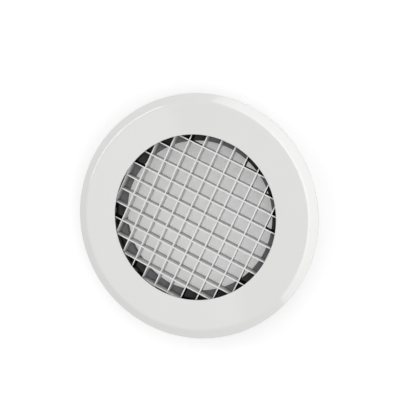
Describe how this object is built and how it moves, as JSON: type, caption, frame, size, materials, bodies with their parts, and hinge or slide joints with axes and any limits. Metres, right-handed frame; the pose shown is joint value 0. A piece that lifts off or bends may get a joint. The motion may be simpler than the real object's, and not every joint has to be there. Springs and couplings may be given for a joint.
{
  "type": "round egg-crate air outlet vent",
  "caption": "Round ceiling air outlet vent: white bevelled face ring, open egg-crate core of half-lapped strips on a dark ledge, and a plain neck for the duct.",
  "frame": {"origin": "on the vent's axis, in the plane of the ceiling that the rim and its gasket lie against", "axes": "+Z along the axis out of the face into the room, X and Y along the two families of core strips"},
  "size_m": [0.2084, 0.2084, 0.044],
  "materials": {
    "white_coat": "white powder coat on spun aluminium, satin",
    "strip_coat": "white powder coat on aluminium strip, satin",
    "dark_coat": "dark grey coat on steel sheet, matt",
    "black_foam": "black closed-cell foam",
    "grey_foam": "grey closed-cell foam",
    "plated_steel": "zinc-plated steel",
    "rivet_aluminium": "bare aluminium rivet"
  },
  "bodies": {
    "root": {"face_ring": "white_coat", "neck": "dark_coat", "seat_ring": "dark_coat", "core_gasket": "black_foam", "ceiling_gasket": "grey_foam", "weld_studs": "plated_steel", "flange_washers": "plated_steel", "flange_nuts": "plated_steel", "seat_rivets": "rivet_aluminium", "row_strip_01": "strip_coat", "row_strip_02": "strip_coat", "row_strip_03": "strip_coat", "row_strip_04": "strip_coat", "row_strip_05": "strip_coat", "row_strip_06": "strip_coat", "row_strip_07": "strip_coat", "row_strip_08": "strip_coat", "row_strip_09": "strip_coat", "row_strip_10": "strip_coat", "row_strip_11": "strip_coat", "row_strip_12": "strip_coat", "column_strip_01": "strip_coat", "column_strip_02": "strip_coat", "column_strip_03": "strip_coat", "column_strip_04": "strip_coat", "column_strip_05": "strip_coat", "column_strip_06": "strip_coat", "column_strip_07": "strip_coat", "column_strip_08": "strip_coat", "column_strip_09": "strip_coat", "column_strip_10": "strip_coat", "column_strip_11": "strip_coat", "column_strip_12": "strip_coat"}
  },
  "joints": []
}
